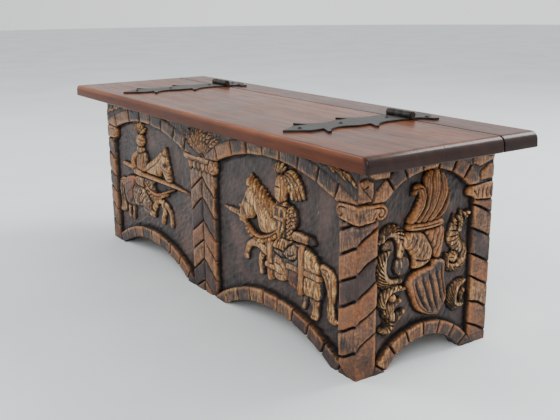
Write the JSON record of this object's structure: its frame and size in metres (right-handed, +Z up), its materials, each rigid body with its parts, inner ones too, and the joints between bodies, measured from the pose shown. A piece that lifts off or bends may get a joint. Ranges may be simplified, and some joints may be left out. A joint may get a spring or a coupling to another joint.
{
  "type": "coffer chest",
  "caption": "Long low carved wooden storage chest with arched feet, a lift-up lid on black iron strap hinges and a fixed rear rail.",
  "frame": {"origin": "on the floor under the middle of the top's outline", "axes": "+X along the chest to the right seen from the front, +Y to the back, +Z up"},
  "size_m": [1.22, 0.388, 0.4293],
  "materials": {
    "carved_wood": "carved, stained and waxed",
    "plain_wood": "planed, thinly stained",
    "lid_wood": "satin polish",
    "dowel_wood": "bare",
    "black_iron": "forged, blackened",
    "fastener_steel": "plain"
  },
  "bodies": {
    "carcass": {"front_panel": "carved_wood", "left_end_panel": "carved_wood", "right_end_panel": "carved_wood", "back_panel": "plain_wood", "bottom_board_front": "plain_wood", "bottom_board_rear": "plain_wood", "bottom_cleat_front": "plain_wood", "bottom_cleat_back": "plain_wood", "bottom_cleat_left": "plain_wood", "bottom_cleat_right": "plain_wood", "corner_block_front_left": "plain_wood", "corner_block_front_right": "plain_wood", "corner_block_back_left": "plain_wood", "corner_block_back_right": "plain_wood", "rear_rail": "lid_wood", "back_joint_dowels": "dowel_wood", "rear_rail_dowels": "dowel_wood", "hinge_left_tail_leaf": "black_iron", "hinge_left_tail_nails": "black_iron", "hinge_left_pin": "black_iron", "hinge_right_tail_leaf": "black_iron", "hinge_right_tail_nails": "black_iron", "hinge_right_pin": "black_iron", "bottom_cleat_screws": "fastener_steel", "bottom_board_brads": "fastener_steel"},
    "lid": {"lid_board_front": "lid_wood", "lid_board_rear": "lid_wood", "lid_batten_left": "plain_wood", "lid_batten_right": "plain_wood", "lid_batten_screws": "fastener_steel", "hinge_left_strap": "black_iron", "hinge_left_strap_nails": "black_iron", "hinge_right_strap": "black_iron", "hinge_right_strap_nails": "black_iron"}
  },
  "joints": [
    {"name": "lid_hinge", "type": "hinge", "parent": "carcass", "child": "lid", "pos_m": [0, 0.1065, 0.4218], "axis": [-1, 0, 0], "range_deg": [0, 105]}
  ]
}
